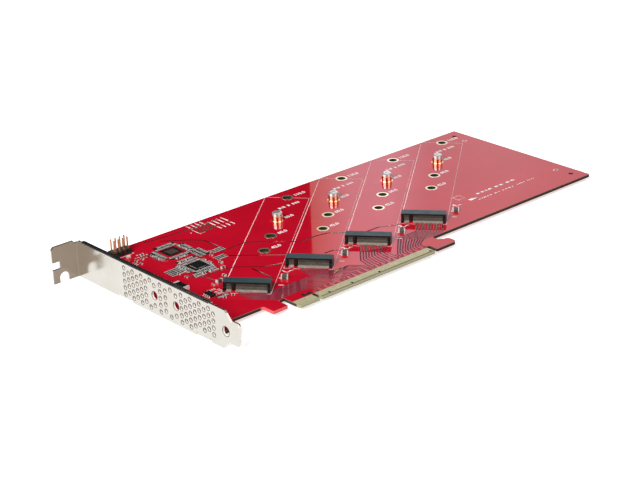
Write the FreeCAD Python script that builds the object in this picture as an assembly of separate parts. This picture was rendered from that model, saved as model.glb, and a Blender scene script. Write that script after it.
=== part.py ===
import FreeCAD
import Part
import math
import os

# Adapter card for four M.2 drive boards: one circuit board, one full-height slot
# bracket, four sockets set at an angle, and the small parts around them.
# Millimetres. X runs from the bracket's outer face along the board, Y from the
# bottom of the edge connector to the far long edge, Z up from the component face.

# Circuit board
BOARD_THICKNESS = 1.57
BOARD_START = 1.6            # gap between the bracket's outer face and the board
BOARD_END = 257.6
BOARD_TOP = 111.15
NEAR_EDGE = 13.3             # near long edge beyond the retention hook
FOOT_LEVEL = 4.5             # lower edge of the foot and of the tab
FOOT_LENGTH = 14.4
RECESS_BACK = 11.5           # back of the recess between the foot and the tab
TAB_START = 34.4
TAB_LENGTH = 8.5

# Edge connector
KEY_CENTRE = 58.7
KEY_WIDTH = 1.9
KEY_DEPTH = 6.0
CONTACT_PITCH = 1.0
CONTACTS_BEFORE_KEY = 11
CONTACTS_AFTER_KEY = 71
CONTACT_WIDTH = 0.7
CONTACT_TOP = 5.6
CONTACT_SETBACK = 0.1        # from the bevel to the contact
DETECT_SETBACK = 1.4         # the shorter presence contacts start this much later
DETECT_TOP = (17, 31, 48, 81)
DETECT_BOTTOM = (1,)
SEGMENT_MARGIN = 0.65        # from the outermost contact's centre to the segment's end
BEVEL_LENGTH = 1.2
BEVEL_DEPTH = 0.42
BEVEL_OVERCUT = 0.01

# Retention hook beside the edge connector
HOOK_GAP = 2.5               # slot between the connector and the hook
HOOK_GAP_DEPTH = 6.9
HOOK_STEM = 8.3
HOOK_REACH = 13.3            # stem and toe together
HOOK_LOW = 1.5
HOOK_TOE_TOP = 7.6
HOOK_THROAT = 9.4

# Radii of the board's corners
OUTER_ROUND = 0.5
RECESS_ROUND = 1.0
SEGMENT_ROUND = 0.6
SLOT_ROUND = 0.8
TOE_ROUND = 2.0
STEM_ROUND = 1.2

# Plated holes
PLATING = 0.05
BORE_RADIUS = 2.2
RING_RADIUS = 3.15

# Drive bays
BAYS = 4
BAY_X = 42.8                 # where the first drive board's contact edge sits
BAY_Y = 31.9
BAY_PITCH = 37.4
BAY_ANGLE = 40.0
FITTED_LENGTH = 80.0         # this position carries the standoff
OPEN_LENGTHS = (42.0, 60.0, 110.0)

# Drive sockets, in the bay's own directions: along the drive, then across it
SOCKET_WIDTH = 21.9
SOCKET_HEIGHT = 4.2
SOCKET_FRONT = 1.5
SOCKET_BACK = -3.9
SOCKET_FOOT = 0.9
SOCKET_FOOT_HEIGHT = 1.6
SLOT_WIDTH = 20.1
SLOT_FLOOR = 2.4
SLOT_HEIGHT = 1.1
SLOT_STOP = -0.3
SLOT_LEAD = 0.25
TAIL_BAY_FRONT = -2.4        # the open back that the contact tails leave through
TAIL_BAY_WIDTH = 19.2
TAIL_BAY_HEIGHT = 3.45
SOCKET_POSITIONS = 75
SOCKET_KEY = (59, 66)        # positions taken by the key
SOCKET_PITCH = 0.25
STRIP = 0.2                  # width and thickness of a contact strip
KEY_MARGIN = 0.3
UPPER_TAIL = (0.9, 3.2, 1.5)     # way back to the drop, height, reach of the foot
LOWER_TAIL = (0.3, 1.9, 0.8)

# Standoffs and their screws
STANDOFF_HEIGHT = 2.5
STANDOFF_RADIUS = 2.65
STANDOFF_CHAMFER = 0.2
SHANK_CLEARANCE = 0.05
SCREW_RADIUS = 0.97
SCREW_CLEARANCE = 0.03
SCREW_HEAD_RADIUS = 2.5
SCREW_HEAD_HEIGHT = 1.95
SCREW_LENGTH = 2.8
CROSS_WIDTH = 0.44
CROSS_LENGTH = 2.5
CROSS_DEPTH = 1.0
HEAD_ROUND = 0.75

# Bracket
SHEET = 1.0
BRACKET_BOTTOM = -3.2
BRACKET_WIDTH = 18.42
BRACKET_LENGTH = 120.02
TONGUE_TIP = -14.6
TONGUE_WIDTH = 10.19
TONGUE_INSET = 4.11
SHOULDER = -5.0              # where the bracket begins to narrow to its tongue
TONGUE_CHAMFER = 1.2
LIP_DEPTH = 2.2
LIP_START = 5.7
LIP_SETBACK = 2.0            # from the far chamfer to the lip
ROLL_RADIUS = 0.7
OUTER_BEND = 0.8
INNER_BEND = 0.3
SCREW_TAB_REACH = 13.8
SCREW_SLOT_CENTRE = 7.85
SCREW_SLOT_WIDTH = 5.0
SCREW_SLOT_DEPTH = 4.7
NOTCH_DEPTH = 4.0
NOTCH_BOTTOM = 3.8
NOTCH_HEIGHT = 3.6
TAB_CHAMFER = 1.2
EAR_REACH = 9.6
EAR_WIDTH = 8.4
EAR_STARTS = (5.9, 63.3)
RELIEF_WIDTH = 1.0
RELIEF_DEPTH = 0.2
EAR_HOLE = 5.8
EAR_HOLE_CLEARANCE = 0.15
EAR_SCREW_RADIUS = 1.45
EAR_SCREW_HEAD_RADIUS = 2.8
EAR_SCREW_HEAD_HEIGHT = 1.9
EAR_SCREW_TIP = 0.9
EAR_CROSS_WIDTH = 0.6
EAR_CROSS_LENGTH = 3.2

# Vent holes: first column, column pitch and number of columns of each field
VENT_RADIUS = 1.1
VENT_FIELDS = ((67.0, 3.19, 8), (40.4, 3.8, 4), (25.2, 3.19, 8))
VENT_ROW_PITCH = 3.26
VENT_MIDDLE = 6.05
LARGE_VENT_RADIUS = 2.1
TONGUE_VENT = (-5.5, 5.6)
TONGUE_VENT_RADIUS = 2.4

# Holes near the far end
CORNER_HOLE_RADIUS = 1.3
CORNER_HOLE_INSET = 6.0
CORNER_HOLE_NEAR = 7.4
TOOLING_RADIUS = 0.45
TOOLING_OFFSETS = ((-2.1, 8.7), (-0.7, 9.8))

# Pin header
HEADER_X = 20.4
HEADER_Y = 103.9
HEADER_COLUMNS = 4
HEADER_ROWS = 2
HEADER_PITCH = 2.54
HEADER_NOTCH = 0.35
PIN_WIDTH = 0.64
PIN_TOP = 8.6
PIN_BELOW = 1.43             # how far the pins show under the board
PIN_TIP = 0.15
PIN_DRILL = 0.5

# Chips
CHIP_X = 42.2
CHIP_Y = 68.2
CHIP_LENGTH = 5.2
CHIP_WIDTH = 5.6
CHIP_HEIGHT = 0.9
CHIP_PAD_PITCH = 0.5
CHIP_PAD_LENGTH = 0.6
CHIP_PAD_WIDTH = 0.24
CHIP_PAD_OVERHANG = 0.4
CHIP_DOT_RADIUS = 0.35
CHIP_DOT_DEPTH = 0.07
CHIP_DOT_INSET = 0.9
REGULATOR_X = 25.2
REGULATOR_Y = 37.8
REGULATOR_LENGTH = 3.0
REGULATOR_WIDTH = 4.9
REGULATOR_HEIGHT = 1.3
REGULATOR_PITCH = 1.27
REGULATOR_LIFT = 0.15
REGULATOR_CHAMFER = 0.25
LEAD_REACH = 1.1
LEAD_WIDTH = 0.4
LEAD_THICKNESS = 0.2
LEAD_RISE = 0.8

# Two-ended parts: length, width, height and end-cap length of each size
LARGE_CAPACITOR = (3.2, 1.6, 1.3, 0.5)
MEDIUM_CAPACITOR = (2.0, 1.25, 0.9, 0.4)
SMALL_CAPACITOR = (1.6, 0.8, 0.7, 0.3)
RESISTOR = (1.6, 0.8, 0.5, 0.3)
FUSE = (8.4, 3.0, 1.4, 1.2)
LED = (2.0, 1.25, 0.8, 0.4)
CAP_PROUD = 0.03

# Where they stand: x, y and turn in degrees
LARGE_PLACES = ((37.4, 46.2, 0),)
MEDIUM_PLACES = ((51.6, 62.6, 90), (48.4, 57.2, 0), (43.2, 49.6, 90))
SMALL_PLACES = (
    (35.2, 73.6, 90), (35.2, 69.2, 90), (38.6, 76.2, 0), (42.4, 76.4, 0),
    (48.2, 70.6, 90), (48.2, 66.4, 90), (38.2, 58.6, 0), (42.6, 58.4, 0),
    (33.4, 87.4, 90), (33.4, 92.2, 90), (50.8, 92.6, 0), (50.6, 86.8, 0),
    (30.2, 33.4, 90), (33.2, 45.2, 90),
)
RESISTOR_PLACES = (
    (24.6, 92.6, 90), (24.6, 88.6, 90), (28.0, 92.4, 90), (31.0, 97.0, 0),
    (45.6, 81.6, 0), (40.6, 81.2, 0), (53.8, 72.6, 90), (55.8, 76.4, 90),
    (29.8, 66.4, 90), (30.0, 61.2, 90), (28.4, 31.0, 130), (33.0, 30.6, 130),
)
FUSE_PLACE = (21.9, 54.2, 90)
LED_PLACE = (24.9, 99.3, 0)
BAY_CAPACITORS = ((12.6, -14.6), (10.6, -14.9))   # along and across the bay

# Worked out from the sizes above
UNDERSIDE = -BOARD_THICKNESS
SEGMENT_START = (KEY_CENTRE - KEY_WIDTH / 2 - SEGMENT_MARGIN
                 - (CONTACTS_BEFORE_KEY - 0.5) * CONTACT_PITCH)
FIRST_AFTER_KEY = KEY_CENTRE + 1.5 * CONTACT_PITCH
SEGMENT_END = FIRST_AFTER_KEY + (CONTACTS_AFTER_KEY - 1) * CONTACT_PITCH + SEGMENT_MARGIN
HOOK_START = SEGMENT_END + HOOK_GAP
HOOK_STEM_END = HOOK_START + HOOK_STEM
HOOK_END = HOOK_START + HOOK_REACH
BRACKET_TOP = BRACKET_BOTTOM + BRACKET_WIDTH
SCREW_TAB_Y = TONGUE_TIP + BRACKET_LENGTH
BEND_START = SCREW_TAB_Y - SHEET - INNER_BEND
TONGUE_BOTTOM = BRACKET_BOTTOM + TONGUE_INSET
TONGUE_TOP = TONGUE_BOTTOM + TONGUE_WIDTH
STANDOFF_TOP = PLATING + STANDOFF_HEIGHT
CONTACT_FRONT = SOCKET_FRONT - 3 * SLOT_LEAD
THROUGH = 1.0                # how far a cutting tool runs past a face


def point(x, y, z=0.0):
    return FreeCAD.Vector(x, y, z)


def box(x0, x1, y0, y1, z0, z1):
    return Part.makeBox(x1 - x0, y1 - y0, z1 - z0, point(x0, y0, z0))


def drum(radius, z0, z1, x=0.0, y=0.0):
    return Part.makeCylinder(radius, z1 - z0, point(x, y, z0))


def plate(corners, direction):
    """A flat sheet: the closed outline pushed along the direction."""
    return Part.Face(Part.makePolygon(corners + corners[:1])).extrude(direction)


def whole(shape, tools=(), cuts=()):
    shape = shape.fuse(list(tools)) if tools else shape
    shape = shape.cut(list(cuts)) if cuts else shape
    return shape.removeSplitter()


def same(a, b):
    return abs(a - b) < 1e-4


def rounded(shape, corners):
    """Round the upright edges that stand at the given (x, y, radius) corners."""
    for x, y, radius in corners:
        for edge in shape.Edges:
            ends = [vertex.Point for vertex in edge.Vertexes]
            if len(ends) == 2 and all(same(p.x, x) and same(p.y, y) for p in ends):
                shape = shape.makeFillet(radius, [edge])
                break
    return shape


def straight_edges(shape, test):
    return [e for e in shape.Edges
            if len(e.Vertexes) == 2 and all(test(v.Point) for v in e.Vertexes)]


def rim(shape, level):
    return [e for e in shape.Edges if len(e.Vertexes) == 1 and same(e.Vertexes[0].Point.z, level)]


def turned(shape, angle, place):
    shape = shape.copy()
    shape.rotate(point(0, 0), point(0, 0, 1), angle)
    shape.translate(place)
    return shape


def bay_point(bay, along=0.0, across=0.0):
    turn = math.radians(BAY_ANGLE)
    return point(BAY_X + bay * BAY_PITCH + along * math.cos(turn) - across * math.sin(turn),
                 BAY_Y + along * math.sin(turn) + across * math.cos(turn))


def bay_holes():
    lengths = (FITTED_LENGTH,) + OPEN_LENGTHS
    return [bay_point(bay, length) for bay in range(BAYS) for length in lengths]


def ear_centres():
    return [point(EAR_HOLE, start + EAR_WIDTH / 2) for start in EAR_STARTS]


def header_places():
    return [point(HEADER_X + c * HEADER_PITCH, HEADER_Y + r * HEADER_PITCH)
            for c in range(HEADER_COLUMNS) for r in range(HEADER_ROWS)]


def board_outline():
    key_low = KEY_CENTRE - KEY_WIDTH / 2
    key_high = KEY_CENTRE + KEY_WIDTH / 2
    foot_end = BOARD_START + FOOT_LENGTH
    tab_end = TAB_START + TAB_LENGTH
    toe_back = (HOOK_STEM_END + HOOK_END) / 2
    return [
        (BOARD_START, FOOT_LEVEL), (foot_end, FOOT_LEVEL), (foot_end, RECESS_BACK),
        (TAB_START, RECESS_BACK), (TAB_START, FOOT_LEVEL), (tab_end, FOOT_LEVEL),
        (tab_end, RECESS_BACK), (SEGMENT_START, RECESS_BACK), (SEGMENT_START, 0),
        (key_low, 0), (key_low, KEY_DEPTH), (key_high, KEY_DEPTH), (key_high, 0),
        (SEGMENT_END, 0), (SEGMENT_END, HOOK_GAP_DEPTH), (HOOK_START, HOOK_GAP_DEPTH),
        (HOOK_START, HOOK_LOW), (HOOK_END, HOOK_LOW), (HOOK_END, HOOK_TOE_TOP),
        (toe_back, HOOK_TOE_TOP), (HOOK_STEM_END, HOOK_THROAT), (HOOK_STEM_END, NEAR_EDGE),
        (BOARD_END, NEAR_EDGE), (BOARD_END, BOARD_TOP), (BOARD_START, BOARD_TOP),
    ]


def board_corners():
    foot_end = BOARD_START + FOOT_LENGTH
    tab_end = TAB_START + TAB_LENGTH
    return [
        (HOOK_END, HOOK_LOW, TOE_ROUND), (HOOK_END, HOOK_TOE_TOP, TOE_ROUND),
        (HOOK_START, HOOK_LOW, SEGMENT_ROUND), (HOOK_STEM_END, NEAR_EDGE, STEM_ROUND),
        (HOOK_START, HOOK_GAP_DEPTH, SLOT_ROUND), (SEGMENT_END, HOOK_GAP_DEPTH, SLOT_ROUND),
        (SEGMENT_START, 0, SEGMENT_ROUND), (SEGMENT_END, 0, SEGMENT_ROUND),
        (BOARD_END, NEAR_EDGE, OUTER_ROUND), (BOARD_END, BOARD_TOP, OUTER_ROUND),
        (TAB_START, FOOT_LEVEL, OUTER_ROUND), (tab_end, FOOT_LEVEL, OUTER_ROUND),
        (foot_end, FOOT_LEVEL, OUTER_ROUND), (foot_end, RECESS_BACK, RECESS_ROUND),
        (TAB_START, RECESS_BACK, RECESS_ROUND),
    ]


def bevel(face, depth):
    start = SEGMENT_START - THROUGH
    corners = [point(start, -BEVEL_OVERCUT, face), point(start, BEVEL_LENGTH, face),
               point(start, -BEVEL_OVERCUT, face + depth)]
    return plate(corners, point(SEGMENT_END - start + HOOK_GAP / 2, 0))


def corner_holes():
    x = BOARD_END - CORNER_HOLE_INSET
    return [(x, BOARD_TOP - CORNER_HOLE_INSET, -1), (x, NEAR_EDGE + CORNER_HOLE_NEAR, 1)]


def circuit_board():
    board = plate([point(x, y, UNDERSIDE) for x, y in board_outline()],
                  point(0, 0, BOARD_THICKNESS))
    board = rounded(board, board_corners())
    drills = [(p.x, p.y, BORE_RADIUS) for p in bay_holes()]
    drills += [(p.x, p.y, EAR_SCREW_RADIUS + EAR_HOLE_CLEARANCE) for p in ear_centres()]
    drills += [(p.x, p.y, PIN_DRILL) for p in header_places()]
    for x, y, side in corner_holes():
        drills.append((x, y, CORNER_HOLE_RADIUS))
        drills += [(x + dx, y + side * dy, TOOLING_RADIUS) for dx, dy in TOOLING_OFFSETS]
    cuts = [drum(radius, UNDERSIDE - THROUGH, THROUGH, x, y) for x, y, radius in drills]
    return board.cut(cuts + [bevel(0, -BEVEL_DEPTH), bevel(UNDERSIDE, BEVEL_DEPTH)])


def contact_x(number):
    if number <= CONTACTS_BEFORE_KEY:
        return KEY_CENTRE - (CONTACTS_BEFORE_KEY - number + 1.5) * CONTACT_PITCH
    return FIRST_AFTER_KEY + (number - CONTACTS_BEFORE_KEY - 1) * CONTACT_PITCH


def edge_contacts(low, high, detect):
    pads = []
    for number in range(1, CONTACTS_BEFORE_KEY + CONTACTS_AFTER_KEY + 1):
        x = contact_x(number)
        start = BEVEL_LENGTH + (DETECT_SETBACK if number in detect else CONTACT_SETBACK)
        pads.append(box(x - CONTACT_WIDTH / 2, x + CONTACT_WIDTH / 2, start, CONTACT_TOP, low, high))
    return Part.Compound(pads)


def hole_rings():
    rings = []
    for p in bay_holes():
        for low in (0, UNDERSIDE - PLATING):
            ring = drum(RING_RADIUS, low, low + PLATING, p.x, p.y)
            rings.append(ring.cut(drum(BORE_RADIUS, low - THROUGH, low + THROUGH, p.x, p.y)))
    return Part.Compound(rings)


def socket_position(number):
    return (number - (SOCKET_POSITIONS + 1) / 2) * SOCKET_PITCH


def socket_key():
    low = socket_position(SOCKET_KEY[0]) + KEY_MARGIN
    high = socket_position(SOCKET_KEY[1]) - KEY_MARGIN
    return low, high


def socket_housing():
    half = SOCKET_WIDTH / 2
    roof = SLOT_FLOOR + SLOT_HEIGHT
    body = box(SOCKET_BACK, SOCKET_FRONT, -half, half, 0, SOCKET_HEIGHT)
    slot = box(SLOT_STOP, SOCKET_FRONT + THROUGH, -SLOT_WIDTH / 2, SLOT_WIDTH / 2, SLOT_FLOOR, roof)
    lead = box(CONTACT_FRONT, SOCKET_FRONT + THROUGH, -SLOT_WIDTH / 2, SLOT_WIDTH / 2,
               roof, roof + SLOT_LEAD)
    tails = box(SOCKET_BACK - THROUGH, TAIL_BAY_FRONT, -TAIL_BAY_WIDTH / 2, TAIL_BAY_WIDTH / 2,
                -THROUGH, TAIL_BAY_HEIGHT)
    low, high = socket_key()
    added = [box(SLOT_STOP, CONTACT_FRONT, low, high, SLOT_FLOOR, roof),
             box(SOCKET_BACK, TAIL_BAY_FRONT, low, high, 0, TAIL_BAY_HEIGHT)]
    for side in (-half, half - SOCKET_FOOT):
        added.append(box(SOCKET_BACK - SOCKET_FOOT, SOCKET_BACK, side, side + SOCKET_FOOT,
                         0, SOCKET_FOOT_HEIGHT))
    return whole(body.cut([slot, lead, tails]), added)


def tail(across, shape):
    """A strip that leaves the open back, drops to the board and ends in a foot."""
    drop, top, reach = shape
    back = TAIL_BAY_FRONT - drop
    outer = back - STRIP
    foot = SOCKET_BACK - reach
    profile = [(TAIL_BAY_FRONT, top), (outer, top), (outer, STRIP), (foot, STRIP),
               (foot, 0), (back, 0), (back, top - STRIP), (TAIL_BAY_FRONT, top - STRIP)]
    corners = [point(along, across - STRIP / 2, z) for along, z in profile]
    return plate(corners, point(0, STRIP))


def socket_contacts():
    strips = []
    roof = SLOT_FLOOR + SLOT_HEIGHT
    for number in range(1, SOCKET_POSITIONS + 1):
        if SOCKET_KEY[0] <= number <= SOCKET_KEY[1]:
            continue
        across = socket_position(number)
        upper = number % 2 == 1
        low = roof - STRIP / 2 if upper else SLOT_FLOOR
        strips.append(tail(across, UPPER_TAIL if upper else LOWER_TAIL))
        strips.append(box(SLOT_STOP, CONTACT_FRONT, across - STRIP / 2, across + STRIP / 2,
                          low, low + STRIP / 2))
    return Part.Compound(strips)


def standoff():
    body = drum(STANDOFF_RADIUS, PLATING, STANDOFF_TOP)
    body = body.makeChamfer(STANDOFF_CHAMFER, rim(body, STANDOFF_TOP))
    shank = drum(BORE_RADIUS - SHANK_CLEARANCE, UNDERSIDE, PLATING)
    bore = drum(SCREW_RADIUS + SCREW_CLEARANCE, UNDERSIDE - THROUGH, STANDOFF_TOP + THROUGH)
    return whole(body, [shank], [bore])


def pan_screw(seat, head_radius, head_height, radius, length, cross_length, cross_width):
    top = seat + head_height
    head = drum(head_radius, seat, top)
    head = head.makeFillet(HEAD_ROUND, rim(head, top))
    arm = cross_length / 2
    half = cross_width / 2
    recess = [box(-arm, arm, -half, half, top - CROSS_DEPTH, top + THROUGH),
              box(-half, half, -arm, arm, top - CROSS_DEPTH, top + THROUGH)]
    return whole(head, [drum(radius, seat - length, seat)], recess)


def standoff_screw():
    return pan_screw(STANDOFF_TOP, SCREW_HEAD_RADIUS, SCREW_HEAD_HEIGHT, SCREW_RADIUS,
                     SCREW_LENGTH, CROSS_LENGTH, CROSS_WIDTH)


def bracket_screws():
    length = BOARD_THICKNESS + SHEET + EAR_SCREW_TIP
    screw = pan_screw(0, EAR_SCREW_HEAD_RADIUS, EAR_SCREW_HEAD_HEIGHT, EAR_SCREW_RADIUS,
                      length, EAR_CROSS_LENGTH, EAR_CROSS_WIDTH)
    return Part.Compound([turned(screw, 0, centre) for centre in ear_centres()])


def bracket_plate():
    slant = TONGUE_INSET
    outline = [
        (SCREW_TAB_Y, BRACKET_BOTTOM), (SCREW_TAB_Y, BRACKET_TOP - TAB_CHAMFER),
        (BEND_START, BRACKET_TOP - TAB_CHAMFER), (BEND_START - TAB_CHAMFER, BRACKET_TOP),
        (SHOULDER, BRACKET_TOP),
        (SHOULDER - slant, TONGUE_TOP), (TONGUE_TIP + TONGUE_CHAMFER, TONGUE_TOP),
        (TONGUE_TIP, TONGUE_TOP - TONGUE_CHAMFER), (TONGUE_TIP, TONGUE_BOTTOM + TONGUE_CHAMFER),
        (TONGUE_TIP + TONGUE_CHAMFER, TONGUE_BOTTOM), (SHOULDER - slant / 2, TONGUE_BOTTOM),
        (SHOULDER + slant / 2, BRACKET_BOTTOM),
    ]
    return plate([point(0, y, z) for y, z in outline], point(SHEET, 0))


def screw_tab():
    y = SCREW_TAB_Y - SHEET
    slot_low = -SCREW_SLOT_CENTRE - SCREW_SLOT_WIDTH / 2
    slot_high = -SCREW_SLOT_CENTRE + SCREW_SLOT_WIDTH / 2
    slot_end = BRACKET_BOTTOM + SCREW_SLOT_DEPTH - SCREW_SLOT_WIDTH / 2
    notch_top = NOTCH_BOTTOM + NOTCH_HEIGHT
    root = BRACKET_TOP - TAB_CHAMFER
    outline = [
        (0, BRACKET_BOTTOM), (slot_high, BRACKET_BOTTOM), (slot_high, slot_end),
        (slot_low, slot_end), (slot_low, BRACKET_BOTTOM), (-SCREW_TAB_REACH, BRACKET_BOTTOM),
        (-SCREW_TAB_REACH, NOTCH_BOTTOM), (NOTCH_DEPTH - SCREW_TAB_REACH, NOTCH_BOTTOM),
        (NOTCH_DEPTH - SCREW_TAB_REACH, notch_top), (-SCREW_TAB_REACH, notch_top),
        (-SCREW_TAB_REACH, root), (TAB_CHAMFER - SCREW_TAB_REACH, BRACKET_TOP),
        (-SHEET - TAB_CHAMFER / 2, BRACKET_TOP), (-SHEET, root), (0, root),
    ]
    tab = plate([point(x, y, z) for x, z in outline], point(0, SHEET))
    return tab.cut(Part.makeCylinder(SCREW_SLOT_WIDTH / 2, SHEET + 2 * THROUGH,
                                     point(-SCREW_SLOT_CENTRE, y - THROUGH, slot_end), point(0, 1)))


def vent(radius, y, z):
    return Part.makeCylinder(radius, SHEET + 2 * THROUGH, point(-THROUGH, y, z), point(1, 0))


def vents():
    """Two sorts of column take turns; the last pair of a wide field goes round a larger vent."""
    even_rows = [VENT_MIDDLE + k * VENT_ROW_PITCH for k in (-2, -1, 0, 1, 2)]
    odd_rows = [VENT_MIDDLE + k * VENT_ROW_PITCH for k in (-1.5, -0.5, 0.5, 1.5)]
    cuts = [vent(TONGUE_VENT_RADIUS, *TONGUE_VENT)]
    for field, (first, pitch, columns) in enumerate(VENT_FIELDS):
        split = field < len(VENT_FIELDS) - 1
        for column in range(columns):
            y = first - column * pitch
            rows = odd_rows if column % 2 else even_rows
            if split and column >= columns - 2:
                rows = rows[:1] + rows[-1:]
            if not column % 2 and EAR_STARTS[0] < y < EAR_STARTS[0] + EAR_WIDTH:
                rows = rows[1:]
            cuts += [vent(VENT_RADIUS, y, z) for z in rows]
        if split:
            cuts.append(vent(LARGE_VENT_RADIUS, y, VENT_MIDDLE))
    return cuts


def outside_roll(start, end):
    """What the bend between the face and the lip takes off their common edge."""
    level = BRACKET_TOP - ROLL_RADIUS
    corner = box(-THROUGH, ROLL_RADIUS, start, end, level, BRACKET_TOP + THROUGH)
    return corner.cut(Part.makeCylinder(ROLL_RADIUS, end - start, point(ROLL_RADIUS, start, level),
                                        point(0, 1)))


def bracket():
    lip_end = BEND_START - TAB_CHAMFER - LIP_SETBACK
    lip = box(0, LIP_DEPTH, LIP_START, lip_end, BRACKET_TOP - SHEET, BRACKET_TOP)
    ears = [box(0, EAR_REACH, start, start + EAR_WIDTH, UNDERSIDE - SHEET, UNDERSIDE)
            for start in EAR_STARTS]
    cuts = []
    for start in EAR_STARTS:
        end = start + EAR_WIDTH
        cuts.append(box(-THROUGH, SHEET, start, end, BRACKET_BOTTOM - THROUGH, UNDERSIDE - SHEET))
        for side in (start - RELIEF_WIDTH, end):
            cuts.append(box(-THROUGH, SHEET + THROUGH, side, side + RELIEF_WIDTH,
                            BRACKET_BOTTOM - THROUGH, UNDERSIDE + RELIEF_DEPTH))
    cuts += [drum(EAR_SCREW_RADIUS + SCREW_CLEARANCE, UNDERSIDE - SHEET - THROUGH, 0, p.x, p.y)
             for p in ear_centres()]
    body = whole(bracket_plate(), [lip, screw_tab()] + ears, cuts)
    body = body.makeFillet(OUTER_BEND, straight_edges(
        body, lambda p: same(p.x, SHEET) and same(p.y, SCREW_TAB_Y)))
    body = body.makeFillet(INNER_BEND, straight_edges(
        body, lambda p: same(p.x, 0) and same(p.y, SCREW_TAB_Y - SHEET)))
    return body.cut(vents() + [outside_roll(LIP_START, lip_end)])


def header_base():
    half = HEADER_PITCH / 2
    x0, x1 = HEADER_X - half, HEADER_X + (HEADER_COLUMNS - 0.5) * HEADER_PITCH
    y0, y1 = HEADER_Y - half, HEADER_Y + (HEADER_ROWS - 0.5) * HEADER_PITCH
    cuts = [pin_bar(p, -THROUGH, HEADER_PITCH + THROUGH) for p in header_places()]
    for column in range(1, HEADER_COLUMNS):
        x = x0 + column * HEADER_PITCH
        for low, high in ((y0 - THROUGH, y0 + HEADER_NOTCH), (y1 - HEADER_NOTCH, y1 + THROUGH)):
            cuts.append(box(x - HEADER_NOTCH, x + HEADER_NOTCH, low, high,
                            -THROUGH, HEADER_PITCH + THROUGH))
    return whole(box(x0, x1, y0, y1, 0, HEADER_PITCH), cuts=cuts)


def pin_bar(place, low, high):
    half = PIN_WIDTH / 2
    return box(place.x - half, place.x + half, place.y - half, place.y + half, low, high)


def header_pins():
    pins = []
    for place in header_places():
        pin = pin_bar(place, UNDERSIDE - PIN_BELOW, PIN_TOP)
        level = straight_edges(pin, lambda p: same(p.z, PIN_TOP))
        level += straight_edges(pin, lambda p: same(p.z, UNDERSIDE - PIN_BELOW))
        pins.append(pin.makeChamfer(PIN_TIP, level))
    return Part.Compound(pins)


def main_chip():
    x, y = CHIP_LENGTH / 2, CHIP_WIDTH / 2
    top = PLATING + CHIP_HEIGHT
    body = box(CHIP_X - x, CHIP_X + x, CHIP_Y - y, CHIP_Y + y, PLATING, top)
    return body.cut(drum(CHIP_DOT_RADIUS, top - CHIP_DOT_DEPTH, top + THROUGH,
                         CHIP_X - x + CHIP_DOT_INSET, CHIP_Y + y - CHIP_DOT_INSET))


def pad_row(count):
    return [(k - (count - 1) / 2) * CHIP_PAD_PITCH for k in range(count)]


def main_chip_pads():
    pads = []
    half = CHIP_PAD_WIDTH / 2
    inner = CHIP_PAD_LENGTH - CHIP_PAD_OVERHANG
    for side in (-1, 1):
        edge = CHIP_WIDTH / 2
        near, far = sorted((side * (edge - inner), side * (edge + CHIP_PAD_OVERHANG)))
        for k in pad_row(int(CHIP_LENGTH / CHIP_PAD_PITCH) - 1):
            x = CHIP_X + k
            pads.append(box(x - half, x + half, CHIP_Y + near, CHIP_Y + far, 0, PLATING))
        edge = CHIP_LENGTH / 2
        near, far = sorted((side * (edge - inner), side * (edge + CHIP_PAD_OVERHANG)))
        for k in pad_row(int(CHIP_WIDTH / CHIP_PAD_PITCH) - 1):
            y = CHIP_Y + k
            pads.append(box(CHIP_X + near, CHIP_X + far, y - half, y + half, 0, PLATING))
    return Part.Compound(pads)


def regulator_chip():
    x, y = REGULATOR_LENGTH / 2, REGULATOR_WIDTH / 2
    body = box(REGULATOR_X - x, REGULATOR_X + x, REGULATOR_Y - y, REGULATOR_Y + y,
               REGULATOR_LIFT, REGULATOR_HEIGHT)
    rim_edges = straight_edges(body, lambda p: same(p.z, REGULATOR_HEIGHT))
    return body.makeChamfer(REGULATOR_CHAMFER, rim_edges)


def regulator_pins():
    pins = []
    for side in (-1, 1):
        root = side * REGULATOR_LENGTH / 2
        toe = sorted((root, root + side * LEAD_REACH))
        leg = sorted((root, root + side * LEAD_THICKNESS))
        for k in (-1.5, -0.5, 0.5, 1.5):
            y0 = REGULATOR_Y + k * REGULATOR_PITCH - LEAD_WIDTH / 2
            y1 = y0 + LEAD_WIDTH
            foot = box(REGULATOR_X + toe[0], REGULATOR_X + toe[1], y0, y1, 0, LEAD_THICKNESS)
            riser = box(REGULATOR_X + leg[0], REGULATOR_X + leg[1], y0, y1, 0, LEAD_RISE)
            pins.append(whole(foot, [riser]))
    return Part.Compound(pins)


def chip_part(size, place):
    """The body and the two end caps of a part that lies along X before it is turned."""
    length, width, height, cap = size
    x, y, turn = place
    end, side = length / 2, width / 2
    body = box(cap - end, end - cap, -side, side, CAP_PROUD, height)
    caps = [box(-end, cap - end, -side, side, 0, height + CAP_PROUD),
            box(end - cap, end, -side, side, 0, height + CAP_PROUD)]
    return turned(body, turn, point(x, y)), [turned(c, turn, point(x, y)) for c in caps]


def save(name, shape):
    shape.exportStep(os.path.join("parts", name + ".step"))


def save_group(name, ends_name, items):
    made = [chip_part(size, place) for size, place in items]
    save(name, Part.Compound([body for body, ends in made]))
    save(ends_name, Part.Compound([end for body, ends in made for end in ends]))


def bay_capacitor_places():
    places = []
    for bay in range(BAYS):
        for along, across in BAY_CAPACITORS:
            p = bay_point(bay, along, across)
            places.append((p.x, p.y, BAY_ANGLE - 90))
    return places


os.makedirs("parts", exist_ok=True)
save("circuit_board", circuit_board())
save("finger_contacts_top", edge_contacts(0, PLATING, DETECT_TOP))
save("finger_contacts_bottom", edge_contacts(UNDERSIDE - PLATING, UNDERSIDE, DETECT_BOTTOM))
save("hole_rings", hole_rings())
save("bracket", bracket())
save("bracket_screws", bracket_screws())
save("header_base", header_base())
save("header_pins", header_pins())
save("main_chip", main_chip())
save("main_chip_pads", main_chip_pads())
save("regulator_chip", regulator_chip())
save("regulator_pins", regulator_pins())

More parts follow.
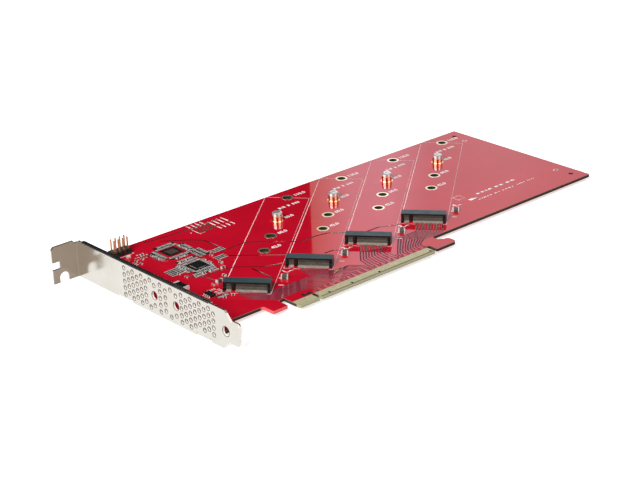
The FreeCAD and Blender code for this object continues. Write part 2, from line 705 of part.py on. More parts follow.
housing = socket_housing()
contacts = socket_contacts()
for bay in range(BAYS):
    number = "_%d" % (bay + 1)
    datum = bay_point(bay)
    seat = bay_point(bay, FITTED_LENGTH)
    save("socket_housing" + number, turned(housing, BAY_ANGLE, datum))
    save("socket_contacts" + number, turned(contacts, BAY_ANGLE, datum))
    save("standoff" + number, turned(standoff(), 0, seat))
    save("standoff_screw" + number, turned(standoff_screw(), BAY_ANGLE / 2, seat))

save_group("bay_capacitors", "bay_capacitor_ends",
           [(LARGE_CAPACITOR, place) for place in bay_capacitor_places()])
save_group("small_capacitors", "small_capacitor_ends",
           [(LARGE_CAPACITOR, place) for place in LARGE_PLACES]
           + [(MEDIUM_CAPACITOR, place) for place in MEDIUM_PLACES]
           + [(SMALL_CAPACITOR, place) for place in SMALL_PLACES])
save_group("resistors", "resistor_ends", [(RESISTOR, place) for place in RESISTOR_PLACES])
save_group("input_fuse", "input_fuse_ends", [(FUSE, FUSE_PLACE)])
save_group("status_led", "status_led_ends", [(LED, LED_PLACE)])
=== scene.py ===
import math

import bpy
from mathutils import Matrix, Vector


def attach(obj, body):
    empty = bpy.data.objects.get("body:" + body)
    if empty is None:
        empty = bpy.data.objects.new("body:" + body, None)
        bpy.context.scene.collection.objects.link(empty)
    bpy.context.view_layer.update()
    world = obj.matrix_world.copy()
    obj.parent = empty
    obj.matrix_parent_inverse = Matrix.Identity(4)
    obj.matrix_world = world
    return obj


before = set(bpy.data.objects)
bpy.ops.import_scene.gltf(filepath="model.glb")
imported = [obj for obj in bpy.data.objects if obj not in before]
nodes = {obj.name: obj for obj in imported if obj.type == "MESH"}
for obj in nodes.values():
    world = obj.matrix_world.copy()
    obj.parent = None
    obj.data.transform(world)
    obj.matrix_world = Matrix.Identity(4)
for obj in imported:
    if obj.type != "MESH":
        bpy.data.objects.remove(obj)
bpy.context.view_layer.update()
mm = 0.001
print("frame loaded:", len(nodes), "nodes")


def clearSelection():
    if bpy.context.object and bpy.context.object.mode != "OBJECT":
        bpy.ops.object.mode_set(mode="OBJECT")
    bpy.ops.object.select_all(action="DESELECT")


def selectOnly(pieces):
    clearSelection()
    for piece in pieces:
        piece.select_set(True)
    bpy.context.view_layer.objects.active = pieces[0]


def place(tree, kind, sockets=None, **settings):
    # adds one shader node; a socket given another socket is linked, any other value is set
    node = tree.nodes.new(kind)
    for key, value in settings.items():
        setattr(node, key, value)
    for key, value in (sockets or {}).items():
        if isinstance(value, bpy.types.NodeSocket):
            tree.links.new(value, node.inputs[key])
        else:
            node.inputs[key].default_value = value
    return node


def newGroup(name, inputs, outputs):
    tree = bpy.data.node_groups.new(name, "ShaderNodeTree")
    for label, kind, value in inputs:
        socket = tree.interface.new_socket(name=label, in_out="INPUT", socket_type=kind)
        if value is not None:
            socket.default_value = value
    for label, kind in outputs:
        tree.interface.new_socket(name=label, in_out="OUTPUT", socket_type=kind)
    return tree, tree.nodes.new("NodeGroupInput").outputs, tree.nodes.new("NodeGroupOutput").inputs


def useGroup(tree, group, sockets):
    return place(tree, "ShaderNodeGroup", sockets, node_tree=group).outputs


def blend(tree, share, low, high, **settings):
    # the low colour where the share is 0 and the high one where it is 1, unless settings name another blend
    node = place(tree, "ShaderNodeMix", {0: share, 6: low, 7: high}, data_type="RGBA", **settings)
    return node.outputs[2]


def reckon(tree, operation, *values):
    return place(tree, "ShaderNodeMath", dict(enumerate(values)), operation=operation).outputs[0]


def ramp(tree, share, stops):
    # a colour band; each stop is a place from 0 to 1 and the colour there
    band = place(tree, "ShaderNodeValToRGB", {0: share})
    while len(band.color_ramp.elements) < len(stops):
        band.color_ramp.elements.new(1.0)
    for element, (spot, colour) in zip(band.color_ramp.elements, stops):
        element.position = spot
        element.color = (*colour, 1)
    return band.outputs[0]


# two tones drifting over a surface
toneGroup, given, result = newGroup(
    "toneDrift",
    [("Vector", "NodeSocketVector", None), ("Scale", "NodeSocketFloat", 200.0),
     ("Light", "NodeSocketColor", (0.8, 0.8, 0.8, 1)), ("Dark", "NodeSocketColor", (0.5, 0.5, 0.5, 1))],
    [("Color", "NodeSocketColor")])
cloud = place(toneGroup, "ShaderNodeTexNoise",
              {"Vector": given["Vector"], "Scale": given["Scale"], "Detail": 4.0, "Roughness": 0.6})
spread = place(toneGroup, "ShaderNodeMapRange",
               {"Value": cloud.outputs["Fac"], "From Min": 0.35, "From Max": 0.65})
toneGroup.links.new(blend(toneGroup, spread.outputs["Result"], given["Dark"], given["Light"]),
                    result["Color"])

# cleaner and more handled places, as a roughness
smudgeGroup, given, result = newGroup(
    "handledGloss",
    [("Vector", "NodeSocketVector", None), ("Scale", "NodeSocketFloat", 60.0),
     ("Clean", "NodeSocketFloat", 0.1), ("Handled", "NodeSocketFloat", 0.3)],
    [("Roughness", "NodeSocketFloat")])
cloud = place(smudgeGroup, "ShaderNodeTexNoise",
              {"Vector": given["Vector"], "Scale": given["Scale"], "Detail": 5.0, "Roughness": 0.65,
               "Distortion": 0.6})
spread = place(smudgeGroup, "ShaderNodeMapRange",
               {"Value": cloud.outputs["Fac"], "From Min": 0.3, "From Max": 0.72, "To Min": given["Clean"],
                "To Max": given["Handled"]})
smudgeGroup.links.new(spread.outputs["Result"], result["Roughness"])

# fine grain, stretched one way for drawn or brushed metal
grainGroup, given, result = newGroup(
    "fineGrain",
    [("Vector", "NodeSocketVector", None), ("Scale", "NodeSocketFloat", 1500.0),
     ("Stretch", "NodeSocketVector", (1, 1, 1))],
    [("Mask", "NodeSocketFloat"), ("Height", "NodeSocketFloat")])
drawn = place(grainGroup, "ShaderNodeVectorMath", {0: given["Vector"], 1: given["Stretch"]},
              operation="MULTIPLY")
fine = place(grainGroup, "ShaderNodeTexNoise",
             {"Vector": drawn.outputs[0], "Scale": given["Scale"], "Detail": 3.0, "Roughness": 0.55})
sharp = place(grainGroup, "ShaderNodeMapRange",
              {"Value": fine.outputs["Fac"], "From Min": 0.38, "From Max": 0.62})
grainGroup.links.new(sharp.outputs["Result"], result["Mask"])
grainGroup.links.new(fine.outputs["Fac"], result["Height"])

# the sides of a flat piece, where its faces stand upright
sideGroup, given, result = newGroup("sideFaces", [("Normal", "NodeSocketVector", None)],
                                    [("Mask", "NodeSocketFloat")])
parts = place(sideGroup, "ShaderNodeSeparateXYZ", {0: given["Normal"]})
flat = reckon(sideGroup, "ABSOLUTE", parts.outputs[2])
steepest = 0.6
sideGroup.links.new(reckon(sideGroup, "LESS_THAN", flat, steepest), result["Mask"])


def newMaterial(name):
    material = bpy.data.materials.new(name)
    material.use_nodes = True
    tree = material.node_tree
    tree.nodes.clear()
    shader = tree.nodes.new("ShaderNodeBsdfPrincipled")
    output = tree.nodes.new("ShaderNodeOutputMaterial")
    tree.links.new(shader.outputs[0], output.inputs[0])
    where = tree.nodes.new("ShaderNodeTexCoord").outputs
    return material, tree, shader, where


def twoTone(tree, spot, scale, light, dark):
    return useGroup(tree, toneGroup, {"Vector": spot, "Scale": scale, "Light": (*light, 1),
                                      "Dark": (*dark, 1)})["Color"]


def handledGloss(tree, spot, look):
    return useGroup(tree, smudgeGroup, {"Vector": spot, "Scale": look["glossScale"], "Clean": look["clean"],
                                        "Handled": look["handled"]})["Roughness"]


def grainOver(tree, spot, look):
    return useGroup(tree, grainGroup, {"Vector": spot, "Scale": look["grainScale"],
                                       "Stretch": look.get("stretch", (1, 1, 1))})


def connect(tree, shader, colour, rough, height, look):
    # colour, roughness and a fine bump into the finished shader
    bump = place(tree, "ShaderNodeBump",
                 {"Strength": look["bump"], "Distance": look["depth"], "Height": height})
    tree.links.new(colour, shader.inputs["Base Color"])
    tree.links.new(rough, shader.inputs["Roughness"])
    tree.links.new(bump.outputs[0], shader.inputs["Normal"])


def plainFinish(name, look):
    # a two-tone finish with handled gloss and grain; look holds its values
    material, tree, shader, where = newMaterial(name)
    spot = where["Object"]
    tone = twoTone(tree, spot, look["toneScale"], look["light"], look["dark"])
    connect(tree, shader, tone, handledGloss(tree, spot, look), grainOver(tree, spot, look)["Height"],
            {"bump": look["bump"], "depth": grainDepth})
    shader.inputs["Metallic"].default_value = look.get("metal", 0.0)
    if "coat" in look:
        shader.inputs["Coat Weight"].default_value = look["coat"]
        shader.inputs["Coat Roughness"].default_value = look["coatRough"]
    return material


def dress(material, *names):
    for name in names:
        for materialSlot in nodes[name].material_slots:
            materialSlot.material = material


grainDepth = 0.00002
finishes = {
    "brightTin": {"light": (0.86, 0.86, 0.84), "dark": (0.70, 0.70, 0.68), "toneScale": 900,
                  "glossScale": 500, "clean": 0.16, "handled": 0.34,
                  "grainScale": 2500, "bump": 0.15, "metal": 0.35},
    "turnedBrass": {"light": (0.96, 0.70, 0.42), "dark": (0.80, 0.50, 0.25), "toneScale": 500,
                    "glossScale": 400, "clean": 0.05, "handled": 0.12,
                    "grainScale": 1800, "stretch": (0.1, 0.1, 1.0), "bump": 0.05, "metal": 1.0},
    "screwSteel": {"light": (0.90, 0.90, 0.87), "dark": (0.66, 0.66, 0.64), "toneScale": 700,
                   "glossScale": 500, "clean": 0.08, "handled": 0.16,
                   "grainScale": 2200, "bump": 0.06, "metal": 0.75},
    "pinCopper": {"light": (0.90, 0.60, 0.36), "dark": (0.66, 0.38, 0.20), "toneScale": 350,
                  "glossScale": 500, "clean": 0.18, "handled": 0.34,
                  "grainScale": 2000, "stretch": (1.0, 1.0, 0.08), "bump": 0.15, "metal": 1.0},
    "ringGold": {"light": (0.98, 0.88, 0.66), "dark": (0.92, 0.80, 0.56), "toneScale": 600, "glossScale": 400,
                 "clean": 0.05, "handled": 0.12, "grainScale": 2200, "bump": 0.04, "metal": 0.88},
    "blockPlastic": {"light": (0.008, 0.009, 0.008), "dark": (0.004, 0.005, 0.004), "toneScale": 500,
                     "glossScale": 300, "clean": 0.34, "handled": 0.52, "grainScale": 2600, "bump": 0.25},
    "chipResin": {"light": (0.008, 0.013, 0.012), "dark": (0.004, 0.007, 0.006), "toneScale": 900,
                  "glossScale": 400, "clean": 0.12, "handled": 0.22, "grainScale": 3200, "bump": 0.35},
    "capCeramic": {"light": (0.09, 0.075, 0.055), "dark": (0.05, 0.04, 0.03), "toneScale": 1200,
                   "glossScale": 700, "clean": 0.3, "handled": 0.5, "grainScale": 3500, "bump": 0.2},
    "resistorGlaze": {"light": (0.030, 0.030, 0.034), "dark": (0.015, 0.015, 0.018), "toneScale": 1500,
                      "glossScale": 700, "clean": 0.2, "handled": 0.4, "grainScale": 3000, "bump": 0.15},
    "lampResin": {"light": (0.80, 0.80, 0.68), "dark": (0.66, 0.64, 0.48), "toneScale": 1500,
                  "glossScale": 500, "clean": 0.14, "handled": 0.3,
                  "grainScale": 2500, "bump": 0.08, "coat": 0.5, "coatRough": 0.08},
    "legendInk": {"light": (0.98, 0.93, 0.93), "dark": (0.86, 0.78, 0.78), "toneScale": 1800,
                  "glossScale": 500, "clean": 0.4, "handled": 0.6, "grainScale": 3500, "bump": 0.3},
    "lineInk": {"light": (0.88, 0.66, 0.66), "dark": (0.72, 0.46, 0.47), "toneScale": 500, "glossScale": 300,
                "clean": 0.2, "handled": 0.35, "grainScale": 2000, "bump": 0.2},
    "padTin": {"light": (0.74, 0.73, 0.69), "dark": (0.24, 0.23, 0.22), "toneScale": 700, "glossScale": 700,
               "clean": 0.25, "handled": 0.45, "grainScale": 3000, "bump": 0.3, "metal": 0.2},
    "trackMask": {"light": (0.085, 0.003, 0.008), "dark": (0.050, 0.002, 0.006), "toneScale": 300,
                  "glossScale": 120, "clean": 0.02, "handled": 0.06, "grainScale": 900, "bump": 0.1},
    "laneMask": {"light": (0.13, 0.022, 0.050), "dark": (0.085, 0.014, 0.034), "toneScale": 300,
                 "glossScale": 120, "clean": 0.01, "handled": 0.03, "grainScale": 900, "bump": 0.02},
    # dark marks on the board, and painted shade under the pad groups
    "darkMarksAndShade": {"light": (0.030, 0.010, 0.010), "dark": (0.012, 0.005, 0.005), "toneScale": 600,
                  "glossScale": 300, "clean": 0.15, "handled": 0.3, "grainScale": 1500, "bump": 0.1},
    # painted shade: the dark colour of the rims round the bracket's vents
    "ventRimShade": {"light": (0.045, 0.036, 0.030), "dark": (0.018, 0.015, 0.012), "toneScale": 900,
                   "glossScale": 500, "clean": 0.3, "handled": 0.5, "grainScale": 2500, "bump": 0.2},
    "bareCopperPad": {"light": (0.13, 0.09, 0.05), "dark": (0.07, 0.05, 0.03), "toneScale": 700,
                      "glossScale": 300, "clean": 0.3, "handled": 0.5,
                      "grainScale": 2200, "bump": 0.3, "metal": 0.6},
}
made = {name: plainFinish(name, look) for name, look in finishes.items()}

dress(made["brightTin"], "bay_capacitor_ends", "small_capacitor_ends", "resistor_ends", "input_fuse_ends",
      "status_led_ends", "main_chip_pads", "regulator_pins", "bracket_screws")
bayNumbers = range(1, 5)
dress(made["turnedBrass"], *["standoff_%d" % n for n in bayNumbers])
dress(made["screwSteel"], *["standoff_screw_%d" % n for n in bayNumbers])
dress(made["pinCopper"], "header_pins")
dress(made["ringGold"], "hole_rings")
dress(made["blockPlastic"], "header_base")
dress(made["chipResin"], "main_chip", "regulator_chip", "input_fuse")
dress(made["capCeramic"], "bay_capacitors", "small_capacitors")
dress(made["resistorGlaze"], "resistors")
dress(made["lampResin"], "status_led")
print("plain finishes made:", len(made))

boardLook = {
    "light": (0.570, 0.0045, 0.022), "dark": (0.520, 0.0030, 0.018), "toneScale": 45.0,
    "laminate": (0.33, 0.31, 0.20), "laminateDark": (0.36, 0.34, 0.20), "laminateScale": 500.0,
    "bevelShade": (0.15, 0.13, 0.065), "edgeTop": (0.26, 0.17, 0.11), "edgeDark": (0.030, 0.014, 0.010),
    "holeWallShade": (0.010, 0.016, 0.009), "edgeWarm": (0.72, 0.10, 0.10), "layer": (-0.00045, -0.00005),
    "glossScale": 28.0, "clean": 0.008, "handled": 0.03, "matt": 0.45,
    "weave": {"Scale": 1150.0 / 6.283, "Distortion": 0.4, "Detail": 1.0}, "bump": 0.02, "depth": 0.000002,
}
# places on the board in millimetres: left, right, lower, upper
edgeZones = {
    "fingers": (46.4, 132.1, -1.0, 5.85), "fingerEdge": (46.4, 132.1, -1.0, 3.0),
    "tab": (33.0, 44.0, 3.0, 11.6), "holes": (3.0, 250.0, 14.5, 109.5), "bevelTop": (57.8, 132.1, 0.85, 1.45),
}


def zoneMask(tree, height, zone):
    # inside a rectangle on the board
    left = reckon(tree, "GREATER_THAN", height.outputs[0], zone[0] * mm)
    right = reckon(tree, "LESS_THAN", height.outputs[0], zone[1] * mm)
    lower = reckon(tree, "GREATER_THAN", height.outputs[1], zone[2] * mm)
    upper = reckon(tree, "LESS_THAN", height.outputs[1], zone[3] * mm)
    wide = reckon(tree, "MULTIPLY", left, right)
    return reckon(tree, "MULTIPLY", wide, reckon(tree, "MULTIPLY", lower, upper))


def boardMaterial(look):
    material, tree, shader, where = newMaterial("glossyMask")
    spot = where["Object"]
    tone = twoTone(tree, spot, look["toneScale"], look["light"], look["dark"])
    bare = twoTone(tree, spot, look["laminateScale"], look["laminate"], look["laminateDark"])
    side = useGroup(tree, sideGroup, {"Normal": where["Normal"]})["Mask"]
    height = place(tree, "ShaderNodeSeparateXYZ", {0: spot})
    # laminate seen at the cut edge: lighter at the top face, dark below
    layer = place(tree, "ShaderNodeMapRange",
                  {"Value": height.outputs[2], "From Min": look["layer"][0], "From Max": look["layer"][1]})
    cut = blend(tree, layer.outputs["Result"], (*look["edgeDark"], 1), (*look["edgeTop"], 1))
    cut = blend(tree, zoneMask(tree, height, edgeZones["tab"]), cut, (*look["edgeWarm"], 1))
    cut = blend(tree, zoneMask(tree, height, edgeZones["fingerEdge"]), cut, bare)
    # painted shade: the cut faces inside the board's holes are near black
    cut = blend(tree, zoneMask(tree, height, edgeZones["holes"]), cut, (*look["holeWallShade"], 1))
    opened = zoneMask(tree, height, edgeZones["fingers"])
    face = blend(tree, opened, tone, bare)
    face = blend(tree, zoneMask(tree, height, edgeZones["bevelTop"]), face, (*look["bevelShade"], 1))
    matt = reckon(tree, "MAXIMUM", side, opened)
    rough = reckon(tree, "MULTIPLY_ADD", matt, look["matt"], handledGloss(tree, spot, look))
    weaveX = place(tree, "ShaderNodeTexWave", {"Vector": spot, **look["weave"]}, wave_type="BANDS",
                   bands_direction="X")
    weaveY = place(tree, "ShaderNodeTexWave", {"Vector": spot, **look["weave"]}, wave_type="BANDS",
                   bands_direction="Y")
    cloth = reckon(tree, "MULTIPLY", weaveX.outputs["Fac"], weaveY.outputs["Fac"])
    connect(tree, shader, blend(tree, side, face, cut), rough, cloth, look)
    return material


dress(boardMaterial(boardLook), "circuit_board")

bracketLook = {
    "light": (0.88, 0.86, 0.81), "dark": (0.84, 0.81, 0.75), "toneScale": 70.0, "sheared": (0.90, 0.87, 0.80),
    "glossScale": 60.0, "clean": 0.14, "handled": 0.21, "grainScale": 1600.0, "stretch": (1, 0.06, 1),
    "bump": 0.01, "depth": 0.000002, "turned": 0.5, "shearedMetal": 0.2,
    # the flat face in millimetres: its thickness, the lip's start and the tab's start
    "sheet": 1.05, "lip": 14.2, "tab": 103.0,
}


def bracketMaterial(look):
    material, tree, shader, where = newMaterial("satinNickel")
    spot = where["Object"]
    tone = twoTone(tree, spot, look["toneScale"], look["light"], look["dark"])
    # punched edges within the flat face's own thickness are paler and less metallic
    parts = place(tree, "ShaderNodeSeparateXYZ", {0: where["Normal"]})
    turned = reckon(tree, "LESS_THAN", reckon(tree, "ABSOLUTE", parts.outputs[0]), look["turned"])
    at = place(tree, "ShaderNodeSeparateXYZ", {0: spot}).outputs
    inFace = reckon(tree, "LESS_THAN", at[0], look["sheet"] * mm)
    belowLip = reckon(tree, "LESS_THAN", at[2], look["lip"] * mm)
    offTab = reckon(tree, "LESS_THAN", at[1], look["tab"] * mm)
    punched = reckon(tree, "MULTIPLY", turned, inFace)
    punched = reckon(tree, "MULTIPLY", punched, belowLip)
    punched = reckon(tree, "MULTIPLY", punched, offTab)
    colour = blend(tree, punched, tone, (*look["sheared"], 1))
    metal = place(tree, "ShaderNodeMapRange",
                  {"Value": punched, "To Min": 1.0, "To Max": look["shearedMetal"]})
    tree.links.new(metal.outputs["Result"], shader.inputs["Metallic"])
    connect(tree, shader, colour, handledGloss(tree, spot, look), grainOver(tree, spot, look)["Height"], look)
    return material


dress(bracketMaterial(bracketLook), "bracket")

fingerLook = {
    "light": (0.60, 0.55, 0.33), "dark": (0.49, 0.44, 0.25), "toneScale": 420.0, "worn": (0.30, 0.26, 0.14),
    "wear": 0.12, "glossScale": 300.0, "clean": 0.22, "handled": 0.4, "grainScale": 1500.0,
    "stretch": (1, 0.2, 1), "bump": 0.15, "depth": 0.00001, "metal": 0.35,
}


def fingerMaterial(look):
    # plated contacts, finely worn along their length and shaded at the bevel's top
    material, tree, shader, where = newMaterial("platedGold")
    spot = where["Object"]
    tone = twoTone(tree, spot, look["toneScale"], look["light"], look["dark"])
    grain = grainOver(tree, spot, look)
    height = place(tree, "ShaderNodeSeparateXYZ", {0: spot})
    shaded = blend(tree, zoneMask(tree, height, edgeZones["bevelTop"]), tone, (*boardLook["bevelShade"], 1))
    colour = blend(tree, reckon(tree, "MULTIPLY", grain["Mask"], look["wear"]), shaded, (*look["worn"], 1))
    connect(tree, shader, colour, handledGloss(tree, spot, look), grain["Height"], look)
    shader.inputs["Metallic"].default_value = look["metal"]
    return material


dress(fingerMaterial(fingerLook), "finger_contacts_top", "finger_contacts_bottom")

socketLook = {
    "light": (0.012, 0.046, 0.054), "dark": (0.006, 0.028, 0.034), "toneScale": 260.0,
    "walls": (0.003, 0.006, 0.006),
    "glossScale": 220.0, "clean": 0.26, "handled": 0.42, "grainScale": 2600.0, "bump": 0.1, "depth": 0.00001,
}


def socketMaterial(look):
    material, tree, shader, where = newMaterial("socketNylon")
    spot = where["Object"]
    # painted sheen: the dark teal on the top faces stands in for a sheen on the black housing, and the
    # upright walls keep the black
    tone = twoTone(tree, spot, look["toneScale"], look["light"], look["dark"])
    side = useGroup(tree, sideGroup, {"Normal": where["Normal"]})["Mask"]
    colour = blend(tree, side, tone, (*look["walls"], 1))
    connect(tree, shader, colour, handledGloss(tree, spot, look), grainOver(tree, spot, look)["Height"], look)
    return material


dress(socketMaterial(socketLook), *["socket_housing_%d" % n for n in bayNumbers])

contactLook = {
    # height above the board in millimetres, and the strip's colour there, its darker bands painted shade
    "stepsWithShade": ((0.0, (0.66, 0.60, 0.54)), (0.24, (0.66, 0.60, 0.54)), (0.42, (0.24, 0.23, 0.19)),
              (1.2, (0.17, 0.17, 0.13)), (1.75, (0.27, 0.26, 0.22)), (2.1, (0.11, 0.11, 0.08)),
              (2.7, (0.16, 0.16, 0.13)), (3.2, (0.26, 0.26, 0.23))),
    "tallest": 4.0, "light": (1, 1, 1), "dark": (0.62, 0.60, 0.58), "toneScale": 900.0,
    "glossScale": 500.0, "clean": 0.3, "handled": 0.5, "grainScale": 2500.0, "bump": 0.1, "depth": 0.00001,
    "metal": 0.25,
}


def contactMaterial(look):
    # bright soldered feet, duller bends and drops above them; the dark bands up the drops are painted shade
    # from the housing above them
    material, tree, shader, where = newMaterial("contactStrips")
    spot = where["Object"]
    height = place(tree, "ShaderNodeSeparateXYZ", {0: spot})
    share = place(tree, "ShaderNodeMapRange", {"Value": height.outputs[2], "From Max": look["tallest"] * mm})
    stops = [(level / look["tallest"], colour) for level, colour in look["stepsWithShade"]]
    band = ramp(tree, share.outputs["Result"], stops)
    tone = twoTone(tree, spot, look["toneScale"], look["light"], look["dark"])
    colour = blend(tree, 1.0, band, tone, blend_type="MULTIPLY")
    connect(tree, shader, colour, handledGloss(tree, spot, look), grainOver(tree, spot, look)["Height"], look)
    shader.inputs["Metallic"].default_value = look["metal"]
    return material


dress(contactMaterial(contactLook), *["socket_contacts_%d" % n for n in bayNumbers])
print("board, bracket, fingers and sockets dressed")


def settle(piece, material):
    # one finished piece: its place goes into its mesh, then it rides on the card
    selectOnly([piece])
    bpy.ops.object.transform_apply(location=True, rotation=True, scale=True)
    piece.data.materials.clear()
    piece.data.materials.append(material)
    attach(piece, "root")
    return piece


sunk = -0.004  # printed strips start this far below the board's face, in millimetres


def stripPiece(name, routes, width, thick, lift=sunk, closed=False):
    # flat strips on the board's face, swept along straight runs
    clearSelection()
    bpy.ops.curve.primitive_nurbs_path_add()
    profile = bpy.context.object
    profile.data.splines.clear()
    outline = profile.data.splines.new("POLY")
    outline.points.add(3)
    for point, (x, y) in zip(outline.points, ((-0.5, -0.5), (0.5, -0.5), (0.5, 0.5), (-0.5, 0.5))):
        point.co = (x * width * mm, y * thick * mm, 0, 1)
    outline.use_cyclic_u = True
    bpy.ops.curve.primitive_nurbs_path_add()
    strip = bpy.context.object
    strip.name = name
    strip.data.splines.clear()
    strip.data.twist_mode = "Z_UP"
    for route in routes:
        run = strip.data.splines.new("POLY")
        run.points.add(len(route) - 1)
        for point, (x, y) in zip(run.points, route):
            point.co = (x * mm, y * mm, (lift + thick / 2) * mm, 1)
        run.use_cyclic_u = closed
    strip.data.bevel_mode = "OBJECT"
    strip.data.bevel_object = profile
    strip.data.use_fill_caps = not closed
    selectOnly([strip])
    bpy.ops.object.convert(target="MESH")
    strip = bpy.context.object
    bpy.data.objects.remove(profile)
    bpy.ops.object.mode_set(mode="EDIT")
    bpy.ops.mesh.select_all(action="SELECT")
    bpy.ops.mesh.remove_doubles(threshold=0.001 * mm)
    bpy.ops.mesh.normals_make_consistent(inside=False)
    bpy.ops.object.mode_set(mode="OBJECT")
    return strip


bay = {"x": 42.8, "y": 31.9, "pitch": 37.4, "angle": 40.0, "count": 4}
alongX, alongY = math.cos(math.radians(bay["angle"])), math.sin(math.radians(bay["angle"]))


def onBay(along, across, number=0):
    # a place on the board from a drive bay's own lengths
    return (bay["x"] + bay["pitch"] * number + along * alongX - across * alongY,
            bay["y"] + along * alongY + across * alongX)


def copyToBays(piece, name):
    # the first bay's piece, copied to the others, each with its own mesh
    copies = [piece]
    for number in range(1, bay["count"]):
        selectOnly([piece])
        bpy.ops.object.duplicate(linked=False)
        twin = bpy.context.object
        twin.location.x += bay["pitch"] * number * mm
        copies.append(twin)
    for number, twin in enumerate(copies):
        twin.name = "%s_%d" % (name, number + 1)
    return copies


inkThick = 0.024
outline = {"half": 11.4, "start": 10.5, "end": 110.0, "cut": (0.8, 0.7), "gap": 3.4, "rear": -6.4,
           "stub": -9.6, "corner": (-3.6, 8.4), "mark": (-6.6, 7.0, 3.6), "width": 0.36}
half, end, rear = outline["half"], outline["end"], outline["rear"]
frameRoutes = [
    [onBay(outline["start"], half), onBay(end - outline["cut"][0], half),
     onBay(end, half - outline["cut"][1]), onBay(end, outline["gap"])],
    [onBay(end, -outline["gap"]), onBay(end, -half), onBay(rear, -half), onBay(rear, outline["stub"])],
    [onBay(outline["corner"][0], half), onBay(rear, half), onBay(rear, outline["corner"][1])],
    [onBay(outline["mark"][0], across) for across in outline["mark"][1:]],
]
bayLines = stripPiece("bayOutline", frameRoutes, outline["width"], inkThick)
for piece in copyToBays(bayLines, "bayOutline"):
    settle(piece, made["lineInk"])
print("bay outlines printed")

numberPrint = {"size": 3.3, "thick": 0.012, "bold": 0.10, "lift": 0.008, "curveSteps": 2, "right": 4.4,
               "up": -1.2, "lengths": (42, 60, 80, 110), "baySize": 3.4, "bayAt": (17.5, -13.6)}


def printText(name, words, x, y, size):
    clearSelection()
    bpy.ops.object.text_add(location=(x * mm, y * mm, numberPrint["lift"] * mm))
    letters = bpy.context.object
    letters.name = name
    letters.data.body = words
    letters.data.size = size * mm
    letters.data.extrude = numberPrint["thick"] * mm
    letters.data.offset = numberPrint["bold"] * mm
    letters.data.resolution_u = numberPrint["curveSteps"]
    bpy.ops.object.convert(target="MESH")
    return bpy.context.object


numberPieces = []
for length in numberPrint["lengths"]:
    x, y = onBay(length, 0)
    x, y = x + numberPrint["right"], y + numberPrint["up"]
    numberPieces.append(printText("lengthNumber", "%.1f" % length, x, y, numberPrint["size"]))
selectOnly(numberPieces)
bpy.ops.object.transform_apply(location=True, rotation=True, scale=True)
bpy.ops.object.join()
for piece in copyToBays(bpy.context.object, "lengthNumbers"):
    settle(piece, made["legendInk"])
for number in range(bay["count"]):
    x, y = onBay(*numberPrint["bayAt"], number)
    letters = printText("bayNumber_%d" % (number + 1), "%d" % (number + 1), x, y, numberPrint["baySize"])
    settle(letters, made["legendInk"])


def dashes(start, sizes, gap):
    # a row of short bars along X; a size below zero leaves its place empty
    x, y = start
    rows = []
    for size in sizes:
        if size > 0:
            rows.append([(x, y), (x + size, y)])
        x += abs(size) + gap
    return rows


def printStrips(name, routes, width, closed=False):
    settle(stripPiece(name, routes, width, inkThick, closed=closed), made["legendInk"])


labelBars = {"start": (114.2, 94.3), "sizes": (1.5, 0.5, 1.3, -0.8, 1.4, -0.8, 1.3, 1.1, 1.2), "gap": 0.45,
             "tall": 1.9}
bars = stripPiece("labelBars", dashes(labelBars["start"], labelBars["sizes"], labelBars["gap"]),
                  labelBars["tall"], inkThick)
for piece in copyToBays(bars, "labelBars"):
    settle(piece, made["legendInk"])
socketBars = {"width": 0.5, "routes": [
    [onBay(17.8, -14.6), onBay(19.0, -16.2)], [onBay(19.6, -15.6), onBay(20.8, -17.4)],
    [onBay(3.7, -13.2), onBay(3.6, -15.8)], [onBay(11.2, -12.3), onBay(11.8, -15.2)]]}
bars = stripPiece("socketBars", socketBars["routes"], socketBars["width"], inkThick)
for piece in copyToBays(bars, "socketBars"):
    settle(piece, made["legendInk"])
rings = {"x": 250.2, "rows": (95.9, 29.95), "radius": 1.2, "sides": 12, "width": 0.36}
turns = [k * math.pi / (rings["sides"] / 2) for k in range(rings["sides"])]
ringRoutes = [[(rings["x"] + rings["radius"] * math.cos(turn), y + rings["radius"] * math.sin(turn))
               for turn in turns] for y in rings["rows"]]
printStrips("cornerRings", ringRoutes, rings["width"], closed=True)
endPrint = {
    "bar": [[(188.4, 33.2), (194.6, 33.2)]], "barTall": 1.7,
    "thick": dashes((197.0, 36.4), (2.6, 2.6, 1.4, 2.8, -0.6, 3.0, 2.6, -0.8, 3.0, 3.0), 0.7),
    "thickTall": 1.3,
    "thin": dashes((192.4, 30.4), (1.6, 1.2, 2.0, 1.4, 1.8, -0.8, 2.2, 1.2, -0.8, 1.6, 2.0, 1.8, 1.4, -1.6,
                                   1.0, 1.2, 1.0, 1.2, -1.0, 0.9, 0.9, 0.9, 0.9), 0.5), "thinTall": 0.7,
    "square": [[(184.6, 37.0), (189.2, 37.0), (189.2, 41.4), (184.6, 41.4)]], "squareLine": 0.35,
}
printStrips("endBar", endPrint["bar"], endPrint["barTall"])
printStrips("endBars", endPrint["thick"], endPrint["thickTall"])
printStrips("endDashes", endPrint["thin"], endPrint["thinTall"])
printStrips("endSquare", endPrint["square"], endPrint["squareLine"], closed=True)
# strokes beside the unfitted header, a box round the fitted one, and part outlines
spareHeader = {"x": 68.9, "y": 98.9, "pitch": 2.54, "columns": 4, "rows": 3, "pad": (1.6, 1.6)}
